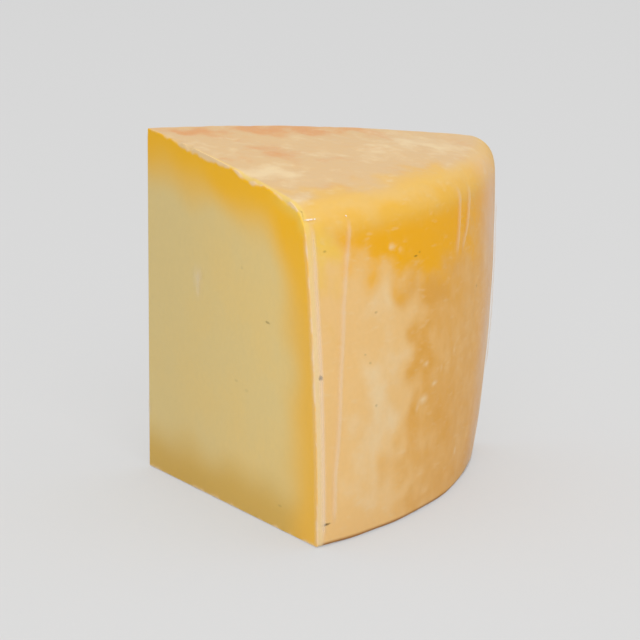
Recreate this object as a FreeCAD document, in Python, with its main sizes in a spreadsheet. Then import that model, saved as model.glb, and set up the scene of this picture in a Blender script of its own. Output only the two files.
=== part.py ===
"""A wedge of a small pecorino wheel in its clear film, standing on its flat foot.

Frame: +X runs from the tip to the rind, +Z is up, and the origin is the middle of the foot's box.
The wheel had sagged a little, so its side leans in at the near cut and out at the far one:
each level of the side is an arc through a near, a middle and a far point, all measured from the tip.
"""
import FreeCAD
import Part
import math
import os
import Sketcher

# Lengths in millimetres and angles in degrees. A reach is a distance from the tip's upright edge.
SIZES = [
    ("wheel_height", 106.7, "height at the wheel's middle"),
    ("middle_setback", 6.0, "how far the wheel's middle lies behind the tip"),
    ("middle_aside", 5.0, "how far the wheel's middle lies towards the far cut"),
    ("half_angle", 36.0, "from the bisector to each cut"),
    ("belly_level", 54.0, "height of the middle outline"),
    ("foot_near", 97.0, "reach of the foot at the near cut"),
    ("foot_middle", 94.6, "reach of the foot on the bisector"),
    ("foot_far", 103.4, "reach of the foot at the far cut"),
    ("belly_near", 94.6, "reach of the belly at the near cut"),
    ("belly_middle", 98.3, "reach of the belly on the bisector"),
    ("belly_far", 109.0, "reach of the belly at the far cut"),
    ("crown_near", 87.0, "reach of the crown at the near cut"),
    ("crown_middle", 94.4, "reach of the crown on the bisector"),
    ("crown_far", 109.2, "reach of the crown at the far cut"),
    ("dome_radius", 680.0, "radius of the gently domed top"),
    ("dome_stock", 4.0, "stock above the wheel's middle that the doming takes off"),
    ("rim_round", 8.0, "rounding from the top to the side"),
    ("foot_round", 1.2, "rounding from the side to the foot"),
    ("cut_round", 0.8, "rounding along the outline of each cut"),
]
# The least volume, in cubic millimetres, that shaping the dome must take off.
LEAST_CUT = 1.0
# An edge lies in a cut when its points are this near to the cut's plane.
ON_PLANE = 0.01
# The mesh that measures the wedge's box strays from it by at most this much.
MESH_TOLERANCE = 0.02
# How Sketcher numbers the points of a curve, the sketch's own origin and its two axes.
START, END, CENTRE = 1, 2, 3
ORIGIN, ACROSS, UP = (-1, 1), -1, -2


def make_sheet(doc):
    """The driving sizes, one row each: name, value and meaning."""
    sheet = doc.addObject("Spreadsheet::Sheet", "sizes")
    for row, (name, value, meaning) in enumerate(SIZES, start=1):
        sheet.set(f"A{row}", name)
        sheet.set(f"B{row}", str(value))
        sheet.set(f"C{row}", meaning)
        sheet.setAlias(f"B{row}", name)
    doc.recompute()
    return sheet


def new_sketch(body, name, role):
    """An empty sketch on one of the body's own origin planes."""
    sketch = body.newObject("Sketcher::SketchObject", name)
    plane = next(item for item in body.Origin.OriginFeatures if item.Role == role)
    sketch.AttachmentSupport = [(plane, "")]
    sketch.MapMode = "FlatFace"
    return sketch


def tie(sketch, *rules):
    """Add constraints that have no size of their own."""
    for rule in rules:
        sketch.addConstraint(Sketcher.Constraint(*rule))


def bind(sketch, name, expression, *rule):
    """Add a named constraint whose value follows an expression of the sheet's sizes."""
    index = sketch.addConstraint(Sketcher.Constraint(*rule))
    sketch.renameConstraint(index, name)
    sketch.setExpression(f"Constraints.{name}", expression)


def outline_sketch(body, sheet, level, height):
    """A wedge at one height: two straight cuts from the tip, and the rind's arc between them."""
    sketch = new_sketch(body, f"{level}_outline", "XY_Plane")
    sketch.setExpression("AttachmentOffset.Base.z", height)
    turn = math.radians(sheet.half_angle)
    near_reach, far_reach = getattr(sheet, f"{level}_near"), getattr(sheet, f"{level}_far")
    tip = FreeCAD.Vector(0, 0, 0)
    near = FreeCAD.Vector(near_reach * math.cos(turn), -near_reach * math.sin(turn), 0)
    middle = FreeCAD.Vector(getattr(sheet, f"{level}_middle"), 0, 0)
    far = FreeCAD.Vector(far_reach * math.cos(turn), far_reach * math.sin(turn), 0)
    near_cut = sketch.addGeometry(Part.LineSegment(tip, near), False)
    rind = sketch.addGeometry(Part.Arc(near, middle, far), False)
    far_cut = sketch.addGeometry(Part.LineSegment(far, tip), False)
    mark = sketch.addGeometry(Part.Point(middle), True)
    tie(sketch,
        ("Coincident", near_cut, START, *ORIGIN),
        ("Coincident", near_cut, END, rind, START),
        ("Coincident", rind, END, far_cut, START),
        ("Coincident", far_cut, END, *ORIGIN),
        ("PointOnObject", mark, START, ACROSS),
        ("PointOnObject", mark, START, rind))
    cosine, sine = "cos(sizes.half_angle)", "sin(sizes.half_angle)"
    bind(sketch, "near_x", f"sizes.{level}_near * {cosine}", "DistanceX", *ORIGIN, near_cut, END, near.x)
    bind(sketch, "near_y", f"-sizes.{level}_near * {sine}", "DistanceY", *ORIGIN, near_cut, END, near.y)
    bind(sketch, "far_x", f"sizes.{level}_far * {cosine}", "DistanceX", *ORIGIN, far_cut, START, far.x)
    bind(sketch, "far_y", f"sizes.{level}_far * {sine}", "DistanceY", *ORIGIN, far_cut, START, far.y)
    bind(sketch, "middle_x", f"sizes.{level}_middle", "DistanceX", *ORIGIN, mark, START, middle.x)
    return sketch


def dome_sketch(body, sheet):
    """Half a section of the stock over the dome, drawn away from the wedge so that no seam crosses it."""
    sketch = new_sketch(body, "dome_section", "XZ_Plane")
    sketch.setExpression("AttachmentOffset.Base.z", "-sizes.middle_aside")
    back, top, radius = -sheet.middle_setback, sheet.wheel_height, sheet.dome_radius
    lid = top + 2 * sheet.dome_stock
    width = 1.5 * sheet.crown_far
    swing = math.asin(width / radius)
    upright = math.pi / 2
    circle = Part.Circle(FreeCAD.Vector(back, top - radius, 0), FreeCAD.Vector(0, 0, 1), radius)
    arc = sketch.addGeometry(Part.ArcOfCircle(circle, upright, upright + swing), False)
    outer_foot = top - radius + radius * math.cos(swing)
    corners = [FreeCAD.Vector(x, y, 0) for x, y in (
        (back, top), (back, lid), (back - width, lid), (back - width, outer_foot))]
    axis, roof, outside = (
        sketch.addGeometry(Part.LineSegment(a, b), False) for a, b in zip(corners, corners[1:]))
    turning = sketch.addGeometry(Part.LineSegment(corners[0], corners[1]), True)
    tie(sketch,
        ("Coincident", arc, START, axis, START),
        ("Coincident", axis, END, roof, START),
        ("Coincident", roof, END, outside, START),
        ("Coincident", outside, END, arc, END),
        ("Coincident", turning, START, axis, START),
        ("Coincident", turning, END, axis, END),
        ("PointOnObject", arc, CENTRE, turning),
        ("Vertical", axis),
        ("Horizontal", roof),
        ("Vertical", outside))
    bind(sketch, "dome_radius", "sizes.dome_radius", "Radius", arc, radius)
    bind(sketch, "setback", "-sizes.middle_setback", "DistanceX", *ORIGIN, axis, START, back)
    bind(sketch, "wheel_height", "sizes.wheel_height", "DistanceY", *ORIGIN, axis, START, top)
    bind(sketch, "headroom", "2 * sizes.dome_stock", "DistanceY", axis, START, axis, END, lid - top)
    bind(sketch, "width", "1.5 * sizes.crown_far", "DistanceX", roof, END, roof, START, width)
    return sketch


def add_loft(body, sections):
    loft = body.newObject("PartDesign::AdditiveLoft", "sagged_wedge")
    loft.Profile = sections[0]
    loft.Sections = sections[1:]
    loft.Ruled = False
    return loft


def cut_dome(doc, body, section):
    """Turn the stock's section about the wheel's middle and take it off the top."""
    before = body.Shape.Volume
    groove = body.newObject("PartDesign::Groove", "domed_top")
    groove.Profile = section
    groove.ReferenceAxis = (section, ["Axis0"])
    groove.Angle = 360
    doc.recompute()
    if before - groove.Shape.Volume < LEAST_CUT:
        raise RuntimeError("the dome took nothing off the stock")
    return groove


def middle_of(edge):
    return edge.valueAt((edge.FirstParameter + edge.LastParameter) / 2)


def on_cut(edge, half_angle):
    """Whether all of an edge lies in one of the two cuts."""
    span = edge.LastParameter - edge.FirstParameter
    points = [edge.valueAt(edge.FirstParameter + span * share) for share in (0.1, 0.5, 0.9)]
    turn = math.radians(half_angle)
    return any(all(abs(p.x * math.sin(turn) + side * p.y * math.cos(turn)) < ON_PLANE for p in points)
               for side in (-1, 1))


def round_edges(doc, body, base, name, wanted, size):
    """A fillet, bound to the sheet, on the edges of its base that pass a test."""
    names = [f"Edge{i}" for i, edge in enumerate(base.Shape.Edges, start=1) if wanted(edge)]
    fillet = body.newObject("PartDesign::Fillet", name)
    fillet.Base = (base, names)
    fillet.setExpression("Radius", f"sizes.{size}")
    doc.recompute()
    return fillet


def make_wedge(doc, sheet):
    """The sagged side lofted through three levels, then domed and rounded off."""
    body = doc.addObject("PartDesign::Body", "pecorino_wedge")
    body.Label = "pecorino_wedge"
    levels = [
        outline_sketch(body, sheet, "foot", "0"),
        outline_sketch(body, sheet, "belly", "sizes.belly_level"),
        outline_sketch(body, sheet, "crown", "sizes.wheel_height + sizes.dome_stock"),
    ]
    doc.recompute()
    add_loft(body, levels)
    doc.recompute()
    section = dome_sketch(body, sheet)
    doc.recompute()
    domed = cut_dome(doc, body, section)

    def is_cut(edge):
        return on_cut(edge, sheet.half_angle)

    def is_rim(edge):
        return not is_cut(edge) and middle_of(edge).z > sheet.belly_level

    def is_foot(edge):
        return not is_cut(edge) and middle_of(edge).z < sheet.belly_level

    rim = round_edges(doc, body, domed, "rounded_rim", is_rim, "rim_round")
    foot = round_edges(doc, body, rim, "rounded_foot", is_foot, "foot_round")
    body.Tip = round_edges(doc, body, foot, "eased_cuts", is_cut, "cut_round")
    doc.recompute()
    return body


def box_of(shape):
    """The box of a shape's fine mesh, which is tighter than the box of its curved faces' poles."""
    box = FreeCAD.BoundBox()
    for point in shape.tessellate(MESH_TOLERANCE)[0]:
        box.add(point)
    return box


def stand_on_origin(doc, body):
    """Place the wedge so that the origin is the middle of its box's foot."""
    box = box_of(body.Shape)
    body.Placement.Base = FreeCAD.Vector(-box.Center.x, -box.Center.y, -box.ZMin)
    doc.recompute()


def check(doc, bodies):
    """Stop before anything is written if an object failed or a shape is not one sound solid."""
    for item in doc.Objects:
        if "Invalid" in item.State or "Error" in item.State:
            raise RuntimeError(f"{item.Name} failed: {item.State}")
    for body in bodies:
        shape = body.Shape
        if shape.isNull() or not shape.isValid() or len(shape.Solids) != 1:
            raise RuntimeError(f"{body.Label} is not one valid solid")


def export(bodies):
    os.makedirs("parts", exist_ok=True)
    for body in bodies:
        body.Shape.exportStep(f"parts/{body.Label}.step")
        box = box_of(body.Shape)
        print(f"{body.Label}: {body.Shape.Volume / 1000:.1f} cm3, "
              f"{box.XLength:.1f} x {box.YLength:.1f} x {box.ZLength:.1f} mm")


doc = FreeCAD.newDocument("pecorino")
sheet = make_sheet(doc)
wedge = make_wedge(doc, sheet)
stand_on_origin(doc, wedge)
check(doc, [wedge])
export([wedge])
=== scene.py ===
# A wedge of pecorino in tight clear film: the cheese and the film that wraps it, on a pale floor.
import math

import bpy
import numpy as np
from mathutils import Matrix, Vector


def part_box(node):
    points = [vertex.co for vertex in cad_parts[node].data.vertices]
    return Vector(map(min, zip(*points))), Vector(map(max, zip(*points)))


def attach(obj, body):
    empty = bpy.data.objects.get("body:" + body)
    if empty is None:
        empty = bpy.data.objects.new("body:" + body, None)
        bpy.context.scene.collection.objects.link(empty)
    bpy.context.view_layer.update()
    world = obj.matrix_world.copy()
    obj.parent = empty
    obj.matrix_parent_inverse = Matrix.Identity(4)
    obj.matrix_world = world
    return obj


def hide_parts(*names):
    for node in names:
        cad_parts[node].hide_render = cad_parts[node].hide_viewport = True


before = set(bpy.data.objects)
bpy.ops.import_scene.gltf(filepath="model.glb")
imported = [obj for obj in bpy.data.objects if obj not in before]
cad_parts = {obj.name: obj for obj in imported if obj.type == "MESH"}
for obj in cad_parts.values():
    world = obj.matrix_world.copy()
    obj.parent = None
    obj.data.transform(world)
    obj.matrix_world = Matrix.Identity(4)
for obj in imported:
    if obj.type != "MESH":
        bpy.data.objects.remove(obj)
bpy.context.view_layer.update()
mm = 0.001
boxLow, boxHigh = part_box("pecorino_wedge")
print("frame: the wedge stands", round(boxHigh.z / mm, 1), "mm high")


# The wheel's outline at three levels (reaches are distances from the tip's upright edge),
# its dome, and how far each of its edges is rounded.
wedge = {
    "halfAngle": math.radians(36.0),
    "levels": np.array([0.0, 54.0, 110.7]) * mm,
    "nearReach": np.array([97.0, 94.6, 87.0]) * mm,
    "middleReach": np.array([94.6, 98.3, 94.4]) * mm,
    "farReach": np.array([103.4, 109.0, 109.2]) * mm,
    "domeRadius": 680.0 * mm,
    "domeRise": 0.05 * mm,  # the dome stands a hair higher behind the tip
    "wheelMiddle": np.array([-6.0, 5.0]) * mm,  # from the tip: a little behind it, towards the far cut
    "rimRound": 8.0 * mm,
    "footRound": 1.2 * mm,
    "cutRound": 0.8 * mm,
    "shoulder": 0.93,  # share of the height at which the top's outline is taken
    "meshMiddle": np.array([62.0, 2.0]) * mm,  # where the mesh's rows draw together, from the tip
}


def tipPlace():
    # The foot of the sharp tip: the node's leftmost corner, moved out by what the rounding took.
    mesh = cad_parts["pecorino_wedge"].data
    corners = np.empty(len(mesh.vertices) * 3)
    mesh.vertices.foreach_get("co", corners)
    corners = corners.reshape(-1, 3)
    leftmost = corners[corners[:, 0] < corners[:, 0].min() + 0.02 * mm]
    taken = wedge["cutRound"] * (1.0 / math.sin(wedge["halfAngle"]) - 1.0)
    return np.array([corners[:, 0].min() - taken, leftmost[:, 1].mean(), 0.0])


tip = tipPlace()
wheelHeight = boxHigh.z + wedge["domeRise"]


def throughLevels(values, z):
    # The parabola through one value at each of the three levels.
    a, b, c = wedge["levels"]
    p, q, r = values
    return (p * (z - b) * (z - c) / ((a - b) * (a - c))
            + q * (z - a) * (z - c) / ((b - a) * (b - c))
            + r * (z - a) * (z - b) / ((c - a) * (c - b)))


def rindReach(azimuth, z):
    # Distance from the tip to the rind: where a ray from the tip meets the circle that runs
    # through the near, middle and far points of that level. The circle's middle is (ux, uy).
    half = wedge["halfAngle"]
    near = throughLevels(wedge["nearReach"], z)
    middle = throughLevels(wedge["middleReach"], z)
    far = throughLevels(wedge["farReach"], z)
    ax, ay = near * math.cos(half), -near * math.sin(half)
    cx, cy = far * math.cos(half), far * math.sin(half)
    twice = 2.0 * (ax * -cy + middle * (cy - ay) + cx * ay)
    aa, bb, cc = ax * ax + ay * ay, middle * middle, cx * cx + cy * cy
    ux = (aa * -cy + bb * (cy - ay) + cc * ay) / twice
    uy = (aa * (cx - middle) + bb * (ax - cx) + cc * (middle - ax)) / twice
    radius2 = (ax - ux) ** 2 + (ay - uy) ** 2
    along = ux * np.cos(azimuth) + uy * np.sin(azimuth)
    return along + np.sqrt(np.maximum(along ** 2 - ux * ux - uy * uy + radius2, 0.0))


def domeHeight(x, y):
    # A sphere's cap about the wheel's middle; x and y start at the tip.
    middleX, middleY = wedge["wheelMiddle"]
    out2 = (x - middleX) ** 2 + (y - middleY) ** 2
    return wheelHeight - wedge["domeRadius"] + np.sqrt(wedge["domeRadius"] ** 2 - out2)


def wallDepths(points):
    # How far each point lies outside the side, the top, the foot and the two cuts.
    x, y, z = (points - tip).T
    half = wedge["halfAngle"]
    azimuth = np.arctan2(y, np.maximum(x, 1e-6))
    side = np.hypot(x, y) - rindReach(np.clip(azimuth, -half * 1.3, half * 1.3), z)
    top = z - domeHeight(x, y)
    nearCut = -x * math.sin(half) - y * math.cos(half)
    farCut = -x * math.sin(half) + y * math.cos(half)
    return side, top, -z, nearCut, farCut


def roundedCorner(a, b, size):
    # The larger of two depths, with their edge turned into an arc of the given radius.
    arc = np.hypot(np.maximum(a + size, 0.0), np.maximum(b + size, 0.0))
    return np.minimum(np.maximum(a, b), -size) + arc


def wedgeDepth(points, cutRound):
    # How far each point lies outside the wedge: the rounded wheel, then the two knife cuts.
    side, top, foot, nearCut, farCut = wallDepths(points)
    wheel = roundedCorner(roundedCorner(side, top, wedge["rimRound"]), foot, wedge["footRound"])
    return roundedCorner(roundedCorner(wheel, nearCut, cutRound), farCut, cutRound)


def gradientOf(depth, points):
    # The depth's slope by small steps along each axis.
    step = 0.02 * mm
    slopes = [(depth(points + step * axis) - depth(points - step * axis)) / (2 * step)
              for axis in np.eye(3)]
    return np.stack(slopes, axis=1)


def settleOn(depth, points, level, rounds=8):
    # Newton steps along the slope until every point lies at the given depth.
    for _ in range(rounds):
        slope = gradientOf(depth, points)
        miss = (depth(points) - level)[:, None]
        points = points - miss * slope / np.maximum((slope ** 2).sum(1, keepdims=True), 0.25)
    return points


def eased(count, share):
    # Steps from 0 to 1 that crowd towards both ends: even steps blended with half a cosine wave.
    even = np.linspace(0.0, 1.0, count)
    return (1.0 - share) * even + share * (0.5 - 0.5 * np.cos(math.pi * even))


def sharpGrid(counts):
    # Points on the wedge before its edges are rounded. A column runs from the middle of the foot,
    # up the wall and in to the middle of the top: the near cut's columns go out from the tip, the
    # rind's follow by azimuth, and the far cut's come back. Rows of the foot and the top are the
    # wall's first and last row, drawn in towards one middle.
    half = wedge["halfAngle"]
    cutSteps = eased(counts["cut"], 0.75)[:-1]
    arcSteps = eased(counts["arc"], 0.75)[:-1]
    azimuth = np.concatenate([np.full(len(cutSteps), -half), -half + 2 * half * arcSteps,
                              np.full(len(cutSteps), half)])
    share = np.concatenate([cutSteps, np.ones(len(arcSteps)), 1.0 - cutSteps])
    outwards = np.stack([np.cos(azimuth), np.sin(azimuth)], axis=-1)
    shoulder = rindReach(azimuth, wheelHeight * wedge["shoulder"]) * share
    wallTop = domeHeight(*(shoulder[:, None] * outwards).T)
    z = eased(counts["wall"], 0.75)[:, None] * wallTop
    reach = rindReach(azimuth, z) * share
    wall = np.concatenate([reach[..., None] * outwards, z[..., None]], axis=-1)

    middle = wedge["meshMiddle"]
    keep = (1.0 - 2.0 * eased(2 * counts["inward"], 0.9)[:counts["inward"]])[:, None, None]
    foot = middle + (wall[0, :, :2] - middle) * keep[::-1]
    top = middle + (wall[-1, :, :2] - middle) * keep
    foot = np.concatenate([foot, np.zeros_like(foot[..., :1])], axis=-1)
    top = np.concatenate([top, domeHeight(top[..., 0], top[..., 1])[..., None]], axis=-1)
    return np.concatenate([foot, wall[1:-1], top]) + tip


def closedMesh(name, grid, attributes):
    # A grid whose columns close on themselves, with a fan of triangles at each end.
    rows, columns = grid.shape[:2]
    index = np.arange(rows * columns).reshape(rows, columns)
    turned = np.roll(index, -1, axis=1)
    quads = np.stack([index[:-1], turned[:-1], turned[1:], index[1:]], axis=-1).reshape(-1, 4)
    footPole, topPole = rows * columns, rows * columns + 1
    footFan = np.stack([np.full(columns, footPole), turned[0], index[0]], axis=-1)
    topFan = np.stack([np.full(columns, topPole), index[-1], turned[-1]], axis=-1)
    points = np.concatenate([grid.reshape(-1, 3), grid[0].mean(0)[None], grid[-1].mean(0)[None]])
    loops = np.concatenate([quads.ravel(), footFan.ravel(), topFan.ravel()])
    sizes = np.concatenate([np.full(len(quads), 4), np.full(2 * columns, 3)])
    mesh = bpy.data.meshes.new(name)
    mesh.vertices.add(len(points))
    mesh.vertices.foreach_set("co", points.ravel())
    mesh.loops.add(len(loops))
    mesh.loops.foreach_set("vertex_index", loops.astype(np.int32))
    mesh.polygons.add(len(sizes))
    mesh.polygons.foreach_set("loop_start", (np.cumsum(sizes) - sizes).astype(np.int32))
    mesh.update(calc_edges=True)
    mesh.validate()
    mesh.polygons.foreach_set("use_smooth", np.ones(len(sizes), dtype=bool))
    for label, values in attributes(points).items():
        mesh.attributes.new(label, "FLOAT", "POINT").data.foreach_set("value", values.astype(np.float32))
    piece = bpy.data.objects.new(name, mesh)
    bpy.context.scene.collection.objects.link(piece)
    return piece


def ripples(points, size, seed, waves=24):
    # Soft noise about 0: many sine waves of about one length that run in seeded directions.
    draw = np.random.default_rng(seed)
    directions = draw.normal(size=(waves, 3))
    directions /= np.linalg.norm(directions, axis=1)[:, None]
    lengths = size * draw.uniform(0.7, 1.6, waves)
    phases = draw.uniform(0.0, 2 * math.pi, waves)
    angle = points @ (directions / lengths[:, None]).T * 2 * math.pi + phases
    return np.sin(angle).sum(1) / math.sqrt(waves / 2.0)


def ramp(value, low, high):
    # 0 below low, 1 above high, and a smooth step between.
    t = np.clip((value - low) / (high - low), 0.0, 1.0)
    return t * t * (3.0 - 2.0 * t)


def skinPlaces(points):
    # Azimuth in degrees and reach and height in millimetres, for the marks that are listed.
    x, y, z = (points - tip).T
    azimuth = np.degrees(np.arctan2(y, np.maximum(x, 1e-6)))
    return azimuth, np.hypot(x, y) / mm, z / mm


def blotches(across, up, marks):
    # Soft oval patches: each mark is its middle across and up, its two half sizes and a strength.
    total = np.zeros_like(across)
    for middle, height, wide, tall, strength in marks:
        total += strength * np.exp(-((across - middle) / wide) ** 2 - ((up - height) / tall) ** 2)
    return total


def lineMask(across, up, path, width):
    # A soft line along a path of (across, up) points that rises, fading over 3 mm past both ends.
    path = np.array(path)
    centre = np.interp(up, path[:, 1], path[:, 0])
    low, high = path[0, 1], path[-1, 1]
    ends = ramp(up, low - 3.0, low + 3.0) * ramp(-up, -high - 3.0, -high + 3.0)
    return ends * np.exp(-((across - centre) / width) ** 2)


# Heights and depths without mm beside them are in millimetres, and angles are in degrees.
cheese = {
    "filmGap": 0.3 * mm,  # how far the cheese lies inside the film
    "counts": {"cut": 96, "arc": 122, "wall": 118, "inward": 34},
    "rindWaves": 0.10 * mm,
    "rindWaveSize": 22.0 * mm,
    "crumbleRound": 2.3 * mm,  # how much the cut's top edge crumbles away
    "crumbleSizes": (12.0 * mm, 4.5 * mm),
    "crumbs": [(31, 14), (58, 7), (82, 6)],  # crumbling stretches: middle and half length
    "ripeDepth": (2.5, 23.0),  # the ripened zone starts to fade and ends, under rind and top
    "ripeRound": 26.0 * mm,  # how round that zone turns from the rind to the top
    "ripeHigh": (58.0, 90.0),  # between these heights it deepens to amber
    "footRipeAndShade": (4.0, 19.0),  # and below these the paste darkens: partly its own colour, partly painted shade near the floor
    "ripeWander": 1.4,
    "tanTurn": (-21.0, 2.0),  # the rind turns tan between these azimuths
    "tanShare": 0.62,
    "patchWander": (1.3, 1.8),  # how far the patches' outlines stray, across and up
    "patchWanderSize": 9.0 * mm,
    # Patches on the rind: azimuth, height, half width in degrees, half height, strength.
    "rindMarks": {
        "amber": [(-8, 88, 19, 11, 0.95), (-17, 88, 9, 8, 0.4), (-3, 84, 8, 8, 0.6),
                  (-30, 93, 9, 6, 0.3), (22, 91, 12, 9, 0.5), (-6, 75, 15, 7, 0.35), (10, 80, 8, 8, 0.25)],
        "tan": [(-5, 67, 6, 6, 0.5), (-9.3, 49, 3.5, 8, 0.6), (-10, 36, 4, 9, 0.3), (-13, 24, 3, 6, 0.35),
                (-17.5, 18, 4, 4, 0.45), (-12, 72, 5, 5, 0.35), (-3, 28, 8, 12, 0.2), (-12, 5, 8, 4, 0.3),
                (-8, 58, 3, 5, 0.25), (-20, 13, 3, 3, 0.25)],
        "cream": [(-20, 68, 5, 7, 0.45), (-22, 44, 6, 12, 0.6), (-20, 30, 4, 8, 0.45), (-25, 20, 7, 9, 0.4),
                  (-22, 9, 9, 5, 0.35), (18, 70, 3, 4, 0.4), (27, 40, 4, 7, 0.4), (-16, 53, 3, 4, 0.3)],
        "golden": [(-32, 92, 4, 10, 0.6), (-32.5, 72, 2.5, 16, 0.35), (-32.5, 20, 2, 16, 0.25)],
        "yellow": [(-31.8, 87, 3.5, 11, 0.75)],
    },
    # Small pale flecks on the rind, in the same terms.
    "rindFlecks": [(-8.8, 35.7, 1.5, 1.5, 0.7), (-8.2, 46.5, 0.9, 1.2, 0.7), (-2.7, 43.2, 0.35, 1.4, 0.7),
                   (-5.4, 39.4, 1.0, 1.0, 0.7), (3.4, 49.4, 0.6, 1.1, 0.7), (10.1, 41.5, 0.5, 1.3, 0.6),
                   (6.2, 13, 0.8, 1.8, 0.6), (-16.5, 84.4, 0.8, 1.2, 0.7), (-8.5, 40.2, 0.5, 1.1, 0.5),
                   (-10.5, 33.5, 0.5, 1.4, 0.5), (2.2, 46.5, 0.4, 1.5, 0.5), (-21.5, 86, 0.6, 0.5, 0.5),
                   (-14.2, 83.0, 0.7, 0.9, 0.4), (17, 52, 0.6, 1.2, 0.5), (24, 63, 0.7, 1.0, 0.5)],
    # Patches on the top: place from the tip along the bisector and across it, half sizes, strength.
    "topMarks": {
        "peach": [(16, 4, 7, 5, 1.0), (29, 15, 9, 6, 1.1), (42, 25, 8, 6, 1.0), (55, 35, 8, 5, 0.7),
                  (9, 1, 5, 3, 0.6), (40, -3, 10, 4, 0.7), (47, -10, 7, 4, 0.55), (61, -6, 4, 3, 0.6),
                  (66, 33, 8, 3, 0.3), (74, -28, 5, 6, 0.5), (86, 4, 4, 8, 0.5), (38, -22, 4, 2, 0.5)],
        "golden": [(76, -33, 7, 8, 0.9), (90, 6, 7, 12, 1.0), (84, -12, 7, 9, 0.7), (94, -8, 6, 14, 0.7),
                   (76, -46, 7, 8, 0.9), (62, -38, 9, 5, 0.5), (84, -28, 6, 8, 0.5)],
        "cream": [(19, -11, 4, 2.5, 0.45), (25, -15.5, 4, 3, 0.45), (32, -20.5, 4, 3.5, 0.4),
                  (46, -30, 5, 3, 0.5), (67, -45, 4, 3, 0.6), (71, 33, 10, 12, 0.55), (54, -26, 9, 8, 0.8),
                  (59, 1, 6, 4, 0.5), (70, 12, 6, 9, 0.4), (84, 36, 8, 10, 0.4), (45, 9, 6, 5, 0.3)],
    },
    # Dark specks: wall, azimuth or, on the cut, reach, height, half width, half height, strength.
    "specks": [("rind", -32, 87, 0.45, 0.4, 0.34), ("rind", -10.2, 79.8, 0.6, 0.3, 0.6),
               ("rind", -21.3, 66.5, 0.5, 0.4, 0.26), ("rind", -23.2, 52, 0.4, 0.5, 0.24),
               ("rind", -24.3, 54.8, 0.35, 0.35, 0.22), ("rind", -22, 38.8, 0.4, 0.5, 0.24),
               ("rind", -34.4, 50.7, 0.5, 0.9, 1.0), ("rind", -33.8, 6.7, 1.1, 0.45, 0.9),
               ("rind", -9.0, 80.6, 0.35, 0.3, 0.5), ("rind", 12, 62, 0.5, 0.5, 0.3),
               ("rind", 24, 25, 0.6, 0.5, 0.35), ("cut", 69.3, 61.7, 1.6, 0.45, 0.42),
               ("cut", 55, 75, 0.8, 0.5, 0.12), ("cut", 51.5, 39.8, 1.3, 0.5, 0.12),
               ("cut", 57.5, 38.2, 1.2, 0.7, 0.1), ("cut", 76, 7.6, 1.2, 0.4, 0.22)],
    "rindSpeckWidth": 1.6,  # specks on the rind lie this much wider
    "paste": {
        "pale": "e9cb83", "shade": "e2cb8c", "ripe": "f9bb12", "ripeSide": "f0bb48",
        "footRipeAndShade": "dab35a", "softEdge": "f4cc58", "edge": "f0d0a0",
    },
    "rind": {
        "body": "efc380", "tan": "e3a646", "amber": "f3af10", "cream": "efd3a4", "rim": "f0c25c",
        "peach": "e2a468", "golden": "ecbd66", "yellow": "f4ca58", "top": "e3be8a",
        # foot is a painted contact shadow along the base; corner and cornerHigh are a painted highlight
        # down the near corner.
        "corner": "f4d898", "cornerHigh": "f5d270", "speck": "6e5418", "foot": "9c6224",
    },
}


def crumbStretch(points):
    # Where along the cuts the top edge crumbles most: three flat-topped stretches, by reach.
    reach = skinPlaces(points)[1]
    return sum(np.exp(-((reach - middle) / half) ** 4) for middle, half in cheese["crumbs"])


def cheeseDepth(points):
    # The wedge with a crumbling edge along the top of each cut, and a rind that waves a little.
    # Where chips are high, the cut's edge is rounded more.
    side, top, foot, nearCut, farCut = wallDepths(points)
    atTop = ramp(top, -6.0 * mm, -1.5 * mm)
    coarse, small = (ripples(points, size, 5) for size in cheese["crumbleSizes"])
    chips = ramp(0.7 * coarse + 0.6 * small, -0.9, 1.3)
    chips = chips * (0.4 + 0.6 * ramp(nearCut - farCut, -6.0 * mm, 0.0))  # the near cut crumbles more
    chips = chips * (0.35 + 0.65 * crumbStretch(points))
    cutRound = 0.6 * wedge["cutRound"] + cheese["crumbleRound"] * chips * atTop
    wave = cheese["rindWaves"] * ripples(points, cheese["rindWaveSize"], 11)
    return wedgeDepth(points, cutRound) + wave * ramp(-nearCut, 4.0 * mm, 9.0 * mm)


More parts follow.
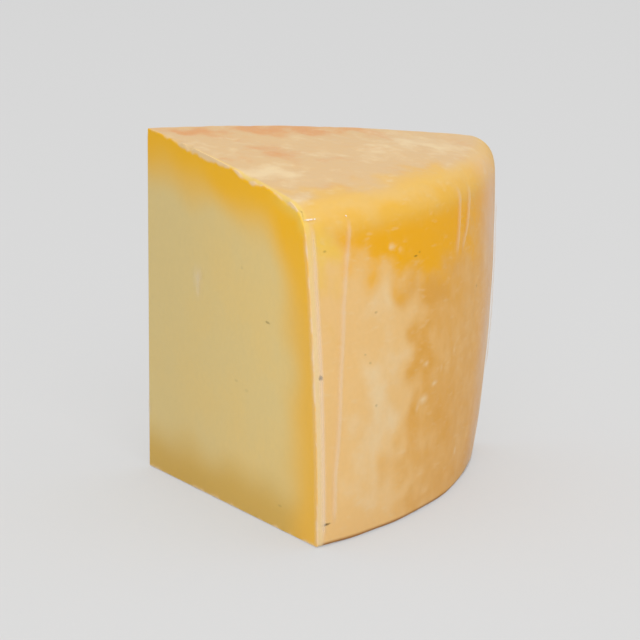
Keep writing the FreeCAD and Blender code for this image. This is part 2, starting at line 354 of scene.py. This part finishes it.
def cheeseAttributes(points):
    # Masks for the cheese's material: the patches by name, on the rind or the top, the ripened
    # zone, which is the depth under rind and top with a soft wander, and plain depths and places.
    side, top, foot, nearCut, farCut = wallDepths(points)
    azimuth, reach, height = skinPlaces(points)
    x, y = ((points - tip)[:, :2] / mm).T
    strayAcross, strayUp = (stray * ripples(points, cheese["patchWanderSize"], seed)
                            for stray, seed in zip(cheese["patchWander"], (21, 22)))
    onTop = ramp(top, -7.0 * mm, -3.0 * mm) * ramp(-side, 1.0 * mm, 6.0 * mm)
    masks = {}
    for label, marks in cheese["rindMarks"].items():
        masks[label] = blotches(azimuth + strayAcross, height + strayUp, marks) * (1.0 - onTop)
    turned = ramp(azimuth + 1.5 * strayAcross, *cheese["tanTurn"])
    masks["tan"] += cheese["tanShare"] * turned * (1.0 - onTop)
    masks["cream"] += blotches(azimuth, height, cheese["rindFlecks"]) * (1.0 - onTop)
    for label, marks in cheese["topMarks"].items():
        masks[label] = masks.get(label, 0.0) + blotches(x + strayAcross, y + strayUp, marks) * onTop
    wander = cheese["ripeWander"] * ripples(points, 19.0 * mm, 31)
    shell = -roundedCorner(side, top, cheese["ripeRound"]) / mm
    masks["ripe"] = 1.0 - ramp(shell + wander, *cheese["ripeDepth"])
    masks["ripeHigh"] = ramp(height + 2.0 * wander, *cheese["ripeHigh"])
    # Darker paste at the foot: partly its own colour, partly painted shade near the floor.
    masks["footRipeAndShade"] = 1.0 - ramp(height + 0.5 * wander, *cheese["footRipeAndShade"])
    masks["onTop"] = onTop
    masks["rim"] = ramp(top, -12.0 * mm, -5.0 * mm) * ramp(side, -8.0 * mm, -3.0 * mm)
    masks["rindDepth"] = -np.maximum(np.maximum(side, top), foot) / mm
    masks["cutDepth"] = -np.maximum(nearCut, farCut) / mm
    masks["azimuth"] = azimuth
    masks["reach"] = reach
    masks["height"] = height
    masks["crumbs"] = crumbStretch(points)
    return masks


def skinPoint(wall, across, height, depth, level):
    # The point of a wall at an azimuth or reach and a height, on the given surface.
    azimuth = math.radians(across) if wall == "rind" else -wedge["halfAngle"]
    reach = float(rindReach(azimuth, height * mm)) if wall == "rind" else across * mm
    start = tip + np.array([reach * np.cos(azimuth), reach * np.sin(azimuth), height * mm])
    return settleOn(depth, start[None], level)[0]


def makePiece(name, counts, depth, level, attributes):
    # The sharp grid, settled at a level of the piece's own depth.
    grid = sharpGrid(counts)
    settled = settleOn(depth, grid.reshape(-1, 3), level)
    piece = closedMesh(name, settled.reshape(grid.shape), attributes)
    print(f"{name}:", len(piece.data.polygons), "faces")
    return piece


cheesePiece = makePiece("cheese", cheese["counts"], cheeseDepth, -cheese["filmGap"], cheeseAttributes)


film = {
    "counts": {"cut": 76, "arc": 236, "wall": 112, "inward": 22},
    "slack": 0.05 * mm,  # how far the tight film waves
    "slackSize": 14.0 * mm,
    "foldHeight": 0.45 * mm,
    "foldWidth": 0.5,  # in degrees of azimuth, a little under a millimetre
    # Folds over the rind, each a path of (azimuth, height) from low to high.
    "rindFolds": {
        "cornerFold": [(-34.6, 4), (-34.5, 50), (-34.4, 94)],
        "pleat": [(-32.2, 8), (-32.0, 21), (-31.3, 29), (-30.8, 38), (-30.5, 46), (-29.7, 58), (-29.0, 70),
                  (-27.6, 83), (-26.2, 94)],
        "leftCrease": [(2.9, 77), (4.0, 84), (5.3, 94)],
        "rightCrease": [(5.1, 77), (7.6, 84), (9.3, 93)],
        "backCrease": [(28.0, 30), (26.5, 52), (29.0, 80)],
    },
    # The film's lapped seam down the far cut, as (reach, height) paths.
    "seamFolds": {
        "lap": [(38, 2), (40, 30), (37, 60), (41, 104)],
        "innerTuck": [(55, 2), (53, 34), (57, 66), (54, 100)],
    },
    "seamWidth": 0.9,
    "gathers": 11,  # pleats drawn together under the foot
    # White patches in the film over the near cut: reach, height, half width and height, strength.
    "whitePatches": [(30, 66.5, 1.9, 2.8, 0.9), (30.5, 62.5, 1.5, 2.0, 0.6), (0.8, 20.0, 1.0, 2.2, 1.0)],
    # A painted sheen where light grazes the film: the azimuths over which it rises on the rind, and over
    # which it fades again.
    "sheenRises": (11.0, 22.0),
    "lies": (22.5, 33.0),
    "colour": "fff6e6",
    # How much of the film's own colour shows where it lies tight and under each mask.
    "tight": 0.01,
    "haze": {"fold": 0.24, "corner": 0.12, "whitePatches": 0.30, "grazingSheen": 0.32},
    # Small bright glints on the rim: azimuth, height, half width and half height.
    "glints": [(-34.4, 97.3, 1.8, 0.3), (-33.2, 97.2, 0.4, 0.3), (-26.3, 96.6, 0.4, 0.3)],
    "glintStrength": 0.8,
}


def filmFolds(points):
    # How strongly a fold shows at each point: along the paths, and as gathers round the foot,
    # which are a cosine of the angle about the mesh's middle, raised to a high power.
    side, top, foot, nearCut, farCut = wallDepths(points)
    azimuth, reach, height = skinPlaces(points)
    onRind = ramp(side, -2.0 * mm, -0.5 * mm)
    onFar = ramp(farCut, -0.8 * mm, -0.2 * mm)
    folds = np.zeros(len(points))
    for path in film["rindFolds"].values():
        folds = np.maximum(folds, onRind * lineMask(azimuth, height, path, film["foldWidth"]))
    for path in film["seamFolds"].values():
        folds = np.maximum(folds, onFar * lineMask(reach, height, path, film["seamWidth"]))
    x, y = (((points - tip)[:, :2] - wedge["meshMiddle"]) / mm).T
    spoke = np.arctan2(y, x)
    gathers = np.cos(film["gathers"] * spoke + 1.5 * np.sin(3 * spoke)) ** 12
    gathers = gathers * ramp(foot, -0.6 * mm, 0.2 * mm) * ramp(np.hypot(x, y), 8.0, 18.0)
    return np.maximum(folds, gathers)


def filmDepth(points):
    # The wedge's own outline, lifted along the folds and waving a little between them.
    foot = wallDepths(points)[2]
    lift = film["foldHeight"] * filmFolds(points) * ramp(-foot, 0.0, 3.0 * mm)
    lift += film["slack"] * ripples(points, film["slackSize"], 41) * ramp(-foot, 0.0, 6.0 * mm)
    return wedgeDepth(points, wedge["cutRound"]) - lift


def filmAttributes(points):
    # Masks for the film's material: its folds, the strip at the near corner, the white patches over the
    # near cut, and a painted sheen of grazing light on the right of the rind.
    azimuth, reach, height = skinPlaces(points)
    side, top, foot, nearCut, farCut = wallDepths(points)
    onRind = ramp(side, -2.0 * mm, -0.5 * mm)
    onNear = ramp(nearCut, -0.8 * mm, -0.2 * mm)
    fromCorner = azimuth + math.degrees(wedge["halfAngle"])
    # The strip at the near corner: whiter where the film bridges the edge, and a painted highlight on that
    # edge.
    corner = onRind * (1.0 - ramp(fromCorner, 1.0, 2.2)) * ramp(-top, 4.0 * mm, 12.0 * mm)
    whitePatches = onNear * blotches(reach + 0.4 * ripples(points, 5.0 * mm, 51), height, film["whitePatches"])
    # Painted sheen: the film drawn whiter over the right of the rind, where light grazes it.
    sheenWander = 0.8 + 0.12 * ripples(points, 30.0 * mm, 53)
    sheenBand = ramp(azimuth, *film["sheenRises"]) * (1.0 - 0.9 * ramp(azimuth, *film["lies"]))
    grazingSheen = ramp(side, -8.0 * mm, -1.0 * mm) * sheenBand * sheenWander
    return {"fold": filmFolds(points), "corner": corner, "whitePatches": whitePatches, "grazingSheen": grazingSheen}


filmPiece = makePiece("film", film["counts"], filmDepth, 0.0, filmAttributes)


def feed(tree, socket, value):
    # A link where the value is a socket, and a plain setting where it isn't.
    if isinstance(value, bpy.types.NodeSocket):
        tree.links.new(value, socket)
    else:
        socket.default_value = value


def addNode(tree, kind, inputs=None, **settings):
    # One shader node; an input is given as a value or as the socket that feeds it.
    node = tree.nodes.new(kind)
    for label, value in settings.items():
        setattr(node, label, value)
    for label, value in (inputs or {}).items():
        feed(tree, node.inputs[label], value)
    return node


def newMaterial(name):
    # A material with an empty tree but for its shader and its output.
    material = bpy.data.materials.new(name)
    material.use_nodes = True
    tree = material.node_tree
    tree.nodes.clear()
    shader = addNode(tree, "ShaderNodeBsdfPrincipled")
    addNode(tree, "ShaderNodeOutputMaterial", {"Surface": shader.outputs["BSDF"]})
    return material, tree, shader


def srgb(text):
    # A colour written as six hexadecimal digits, as the linear values that shaders take.
    parts = [int(text[i:i + 2], 16) / 255.0 for i in (0, 2, 4)]
    linear = [p / 12.92 if p <= 0.04045 else ((p + 0.055) / 1.055) ** 2.4 for p in parts]
    return (*linear, 1.0)


def attribute(tree, name):
    # One of the piece's own masks.
    return addNode(tree, "ShaderNodeAttribute", attribute_name=name).outputs["Fac"]


def remap(tree, value, low, high, toLow=0.0, toHigh=1.0):
    # A smooth step of a value between two limits.
    return addNode(tree, "ShaderNodeMapRange", {"Value": value, "From Min": low, "From Max": high,
                                                "To Min": toLow, "To Max": toHigh},
                   interpolation_type="SMOOTHSTEP").outputs["Result"]


def sums(tree, operation, *values):
    # One step of arithmetic on one or two values.
    return addNode(tree, "ShaderNodeMath", dict(enumerate(values)), operation=operation).outputs["Value"]


def mixed(tree, factor, a, b):
    # Two colours mixed by a factor.
    node = addNode(tree, "ShaderNodeMix", data_type="RGBA")
    for label, value in (("Factor_Float", factor), ("A_Color", a), ("B_Color", b)):
        feed(tree, next(socket for socket in node.inputs if socket.identifier == label), value)
    return next(socket for socket in node.outputs if socket.identifier == "Result_Color")


def cloud(tree, place, size, detail=3.0, roughness=0.55):
    # Noise of a given size in metres, from 0 to 1.
    return addNode(tree, "ShaderNodeTexNoise", {"Vector": place, "Scale": 1.0 / size, "Detail": detail,
                                                "Roughness": roughness}).outputs["Fac"]


def scaled(tree, colour, factor):
    # A colour made lighter or darker by a factor.
    return addNode(tree, "ShaderNodeVectorMath", {0: colour, "Scale": factor},
                   operation="SCALE").outputs["Vector"]


def markNodes():
    # One small oval mark: the distance from its middle over its size, roughened by noise.
    group = bpy.data.node_groups.new("Mark", "ShaderNodeTree")
    for name, kind in (("Place", "NodeSocketVector"), ("Middle", "NodeSocketVector"),
                       ("Size", "NodeSocketVector"), ("Strength", "NodeSocketFloat")):
        group.interface.new_socket(name, in_out="INPUT", socket_type=kind)
    group.interface.new_socket("Mask", in_out="OUTPUT", socket_type="NodeSocketFloat")
    given = group.nodes.new("NodeGroupInput").outputs
    away = addNode(group, "ShaderNodeVectorMath", {0: given["Place"], 1: given["Middle"]},
                   operation="SUBTRACT").outputs["Vector"]
    inSizes = addNode(group, "ShaderNodeVectorMath", {0: away, 1: given["Size"]},
                      operation="DIVIDE").outputs["Vector"]
    distance = addNode(group, "ShaderNodeVectorMath", {0: inSizes}, operation="LENGTH").outputs["Value"]
    rough = sums(group, "MULTIPLY", cloud(group, given["Place"], 0.9 * mm, 2.0), 0.9)
    inside = remap(group, sums(group, "ADD", distance, rough), 1.6, 0.8)
    addNode(group, "NodeGroupOutput", {"Mask": sums(group, "MULTIPLY", inside, given["Strength"])})
    return group


markGroup = markNodes()


def addMark(tree, place, middle, wide, tall, strength):
    # The mask of one oval mark about a point, with its half sizes in millimetres.
    return addNode(tree, "ShaderNodeGroup",
                   {"Place": place, "Middle": middle, "Size": (wide * mm, wide * mm, tall * mm),
                    "Strength": strength}, node_tree=markGroup).outputs["Mask"]


def pasteLook(tree, broad, middling):
    # Straw paste in two soft tones that darkens at the foot, partly its own colour and partly painted shade
    # near the floor, ripens to amber under the rind, goes yellow at the upper rim and is pale where the top
    # edge crumbles; painted light makes it lighter towards the rind.
    paste = {name: srgb(text) for name, text in cheese["paste"].items()}
    reach, height, rindDepth, ripeHigh = (attribute(tree, name) for name in (
        "reach", "height", "rindDepth", "ripeHigh"))
    colour = mixed(tree, remap(tree, broad, 0.35, 0.65, 0.0, 0.5), paste["pale"], paste["shade"])
    colour = mixed(tree, remap(tree, reach, 5.0, 55.0, 0.5, 0.0), colour, paste["shade"])
    # Darker towards the foot: partly the paste's own colour, partly painted shade near the floor.
    colour = mixed(tree, attribute(tree, "footRipeAndShade"), colour, paste["footRipeAndShade"])
    ripe = mixed(tree, ripeHigh, paste["ripeSide"], paste["ripe"])
    colour = mixed(tree, attribute(tree, "ripe"), colour, ripe)
    nearRim = sums(tree, "MULTIPLY", remap(tree, reach, 66.0, 84.0), remap(tree, height, 90.0, 96.0))
    softEdge = sums(tree, "MULTIPLY", remap(tree, rindDepth, 6.5, 1.5, 0.0, 0.75), nearRim)
    colour = mixed(tree, softEdge, colour, paste["softEdge"])
    ragged = sums(tree, "ADD", rindDepth, sums(tree, "MULTIPLY", middling, 4.0))
    crumbly = sums(tree, "MULTIPLY", attribute(tree, "crumbs"), remap(tree, ripeHigh, 0.9, 1.0, 0.0, 1.5))
    edge = remap(tree, sums(tree, "SUBTRACT", ragged, crumbly), 3.0, 1.8, 0.0, 0.92)
    colour = mixed(tree, edge, colour, paste["edge"])
    # Painted light: the paste grows lighter from the tip towards the rind.
    return scaled(tree, colour, remap(tree, reach, 0.0, 90.0, 0.965, 1.06))


def rindLook(tree, place, middling):
    # Patches laid one over another on the rind's and the top's own colours, each roughened by
    # noise, then the paler rim and flecks, a painted contact shadow as a dark line at the foot,
    # and a painted highlight as a pale strip down the near corner.
    rind = {name: srgb(text) for name, text in cheese["rind"].items()}
    onTop, height = attribute(tree, "onTop"), attribute(tree, "height")
    drawn = addNode(tree, "ShaderNodeMapping", {"Vector": place, "Rotation": (0.5, 0.3, 0.4),
                                                "Scale": (1.0, 1.0, 3.2)}).outputs["Vector"]
    flecks = cloud(tree, drawn, 5.0 * mm, 4.0)
    veined = cloud(tree, place, 10.0 * mm, 5.0, 0.65)
    patchy = sums(tree, "MULTIPLY", sums(tree, "SUBTRACT", middling, 0.5), 0.7)
    mottled = sums(tree, "MULTIPLY", onTop, 1.4)
    colour = mixed(tree, onTop, rind["body"], rind["top"])
    for name, noise in (("tan", None), ("peach", veined), ("golden", None), ("amber", None),
                        ("yellow", None), ("cream", flecks)):
        strength = sums(tree, "ADD", attribute(tree, name), patchy)
        if noise:
            streaks = sums(tree, "MULTIPLY", sums(tree, "SUBTRACT", noise, 0.48), mottled)
            strength = sums(tree, "ADD", strength, streaks)
        colour = mixed(tree, remap(tree, strength, 0.05, 1.0), colour, rind[name])
    colour = mixed(tree, sums(tree, "MULTIPLY", attribute(tree, "rim"), 0.6), colour, rind["rim"])
    colour = mixed(tree, remap(tree, flecks, 0.56, 0.74, 0.0, 0.22), colour, rind["cream"])
    # Painted contact shadow: a dark line along the foot of the rind.
    colour = mixed(tree, remap(tree, height, 1.8, 0.7, 0.0, 0.85), colour, rind["foot"])
    # Painted highlight: a pale strip down the rounded near corner, yellower higher up.
    strip = mixed(tree, attribute(tree, "ripeHigh"), rind["corner"], rind["cornerHigh"])
    return mixed(tree, remap(tree, attribute(tree, "azimuth"), -35.1, -34.1, 0.75, 0.0), colour, strip)


def cheeseMaterial():
    # The cuts show paste and everything else shows rind, with a ragged line between them; dark
    # specks, a faint grain and fine relief lie over both.
    material, tree, shader = newMaterial("cheese")
    place = addNode(tree, "ShaderNodeTexCoord").outputs["Object"]
    broad, middling, fine = (cloud(tree, place, size * mm) for size in (24.0, 6.0, 1.6))
    border = sums(tree, "ADD", attribute(tree, "cutDepth"), sums(tree, "MULTIPLY", middling, 0.6))
    colour = mixed(tree, remap(tree, border, 0.8, 1.1), pasteLook(tree, broad, middling),
                   rindLook(tree, place, middling))
    for wall, across, height, wide, tall, strength in cheese["specks"]:
        middle = skinPoint(wall, across, height, cheeseDepth, -cheese["filmGap"])
        if wall == "rind":
            wide = wide * cheese["rindSpeckWidth"]
        speck = addMark(tree, place, middle, wide, tall, strength)
        colour = mixed(tree, speck, colour, srgb(cheese["rind"]["speck"]))
    grain = sums(tree, "ADD", 0.96, sums(tree, "MULTIPLY", fine, 0.08))
    feed(tree, shader.inputs["Base Color"], scaled(tree, colour, grain))
    feed(tree, shader.inputs["Roughness"], remap(tree, fine, 0.3, 0.7, 0.34, 0.46))
    relief = sums(tree, "ADD", middling, sums(tree, "MULTIPLY", fine, 0.3))
    bump = addNode(tree, "ShaderNodeBump", {"Height": relief, "Strength": 0.12, "Distance": 0.3 * mm})
    feed(tree, shader.inputs["Normal"], bump.outputs["Normal"])
    feed(tree, shader.inputs["IOR"], 1.2)
    return material


def filmMaterial():
    # Clear film that hardly shows where it lies tight, and goes white along folds and in patches over the
    # near cut; the folds' white is partly the doubled film's own haze and partly painted highlights on
    # their edges, with a painted sheen on the right of the rind and a painted highlight at the near corner.
    # Its alpha is the masks added up in their shares, and the painted glints where they are stronger.
    material, tree, shader = newMaterial("film")
    place = addNode(tree, "ShaderNodeTexCoord").outputs["Object"]
    feed(tree, shader.inputs["Base Color"], srgb(film["colour"]))
    feed(tree, shader.inputs["Roughness"], 0.10)
    feed(tree, shader.inputs["IOR"], 1.25)
    alpha = 0.0
    for name, share in film["haze"].items():
        alpha = sums(tree, "ADD", alpha, sums(tree, "MULTIPLY", attribute(tree, name), share))
    for azimuth, height, wide, tall in film["glints"]:
        middle = skinPoint("rind", azimuth, height, filmDepth, 0.0)
        glint = addMark(tree, place, middle, wide, tall, film["glintStrength"])
        alpha = sums(tree, "MAXIMUM", alpha, glint)
    feed(tree, shader.inputs["Alpha"], sums(tree, "ADD", alpha, film["tight"]))
    return material


looks = {"cheese": (cheesePiece, cheeseMaterial), "film": (filmPiece, filmMaterial)}
for slot, (piece, makeMaterial) in looks.items():
    piece.data.materials.append(makeMaterial())
    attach(piece, "root")
    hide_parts("pecorino_wedge")
    print(f"{slot}: material with", len(piece.active_material.node_tree.nodes), "nodes")


stage = {
    "floorSize": 12.0,
    "floorColour": "dcdcdc",
    "floorRoughness": 0.9,
    "floorGlow": 0.6,  # how much of the floor's own colour shows in place of its shading
    "worldColour": "f4f4f4",
    "worldLevel": 0.76,
    # Each soft lamp: place, width and height, energy.
    "lamps": {
        "topLamp": ((0.1, 0.1, 1.2), (1.2, 1.2), 3.0),
        "keyLamp": ((0.62, -1.12, 0.95), (1.1, 1.1), 7.0),
    },
    "lampAim": (0.0, 0.0, 0.05),
}


def makeFloor():
    # A wide pale floor; the camera sees its shading mixed with a glow of its own colour.
    bpy.ops.mesh.primitive_plane_add(size=stage["floorSize"])
    floor = bpy.context.object
    floor.name = "floor"
    material, tree, shader = newMaterial("floor")
    feed(tree, shader.inputs["Base Color"], srgb(stage["floorColour"]))
    feed(tree, shader.inputs["Roughness"], stage["floorRoughness"])
    glow = addNode(tree, "ShaderNodeEmission", {"Color": srgb(stage["floorColour"])})
    seen = addNode(tree, "ShaderNodeLightPath").outputs["Is Camera Ray"]
    share = sums(tree, "MULTIPLY", seen, stage["floorGlow"])
    mix = addNode(tree, "ShaderNodeMixShader", {0: share, 1: shader.outputs["BSDF"],
                                                2: glow.outputs["Emission"]})
    output = next(node for node in tree.nodes if node.type == "OUTPUT_MATERIAL")
    feed(tree, output.inputs["Surface"], mix.outputs["Shader"])
    floor.data.materials.append(material)


def makeWorld():
    # Even light from all round.
    world = bpy.data.worlds.new("studio")
    bpy.context.scene.world = world
    world.use_nodes = True
    background = world.node_tree.nodes["Background"]
    background.inputs["Color"].default_value = srgb(stage["worldColour"])
    background.inputs["Strength"].default_value = stage["worldLevel"]


def makeLamp(name, place, size, energy):
    # A soft rectangular lamp turned towards the wedge.
    lamp = bpy.data.lights.new(name, "AREA")
    lamp.shape = "RECTANGLE"
    lamp.size, lamp.size_y = size
    lamp.energy = energy
    holder = bpy.data.objects.new(name, lamp)
    holder.location = place
    away = Vector(stage["lampAim"]) - Vector(place)
    holder.rotation_euler = away.to_track_quat("-Z", "Y").to_euler()
    bpy.context.scene.collection.objects.link(holder)


makeFloor()
makeWorld()
for lampName, (lampPlace, lampSize, lampEnergy) in stage["lamps"].items():
    makeLamp(lampName, lampPlace, lampSize, lampEnergy)
print("stage: floor, world and", len(stage["lamps"]), "lamps")


cameraView = {
    "azimuth": math.radians(21.56),
    "elevation": math.radians(15.325),
    "roll": math.radians(0.198),
    "distance": 1.404,
    "lens": 262.4,
    "sensor": 36.0,
    "clip": (0.05, 50.0),
    "aimRight": 4.88 * mm,  # where the view's middle lies from the wedge's middle
    "aimUp": -2.60 * mm,
}


def makeCamera():
    # The camera looks along -back, from the given distance, with its axes right, up and back.
    azimuth, elevation, roll = (cameraView[key] for key in ("azimuth", "elevation", "roll"))
    back = Vector((math.sin(azimuth) * math.cos(elevation), -math.cos(azimuth) * math.cos(elevation),
                   math.sin(elevation)))
    level = Vector((math.cos(azimuth), math.sin(azimuth), 0.0))
    right = Matrix.Rotation(roll, 3, back) @ level
    up = back.cross(right)
    aim = (boxLow + boxHigh) / 2 + right * cameraView["aimRight"] + up * cameraView["aimUp"]
    camera = bpy.data.cameras.new("camera")
    camera.lens = cameraView["lens"]
    camera.sensor_width = cameraView["sensor"]
    camera.clip_start, camera.clip_end = cameraView["clip"]
    holder = bpy.data.objects.new("camera", camera)
    bpy.context.scene.collection.objects.link(holder)
    turned = Matrix((right, up, back)).transposed().to_4x4()
    holder.matrix_world = Matrix.Translation(aim + back * cameraView["distance"]) @ turned
    bpy.context.scene.camera = holder
    print("camera:", round(cameraView["distance"], 2), "m from the wedge")


makeCamera()
bpy.context.scene.view_settings.view_transform = "Standard"
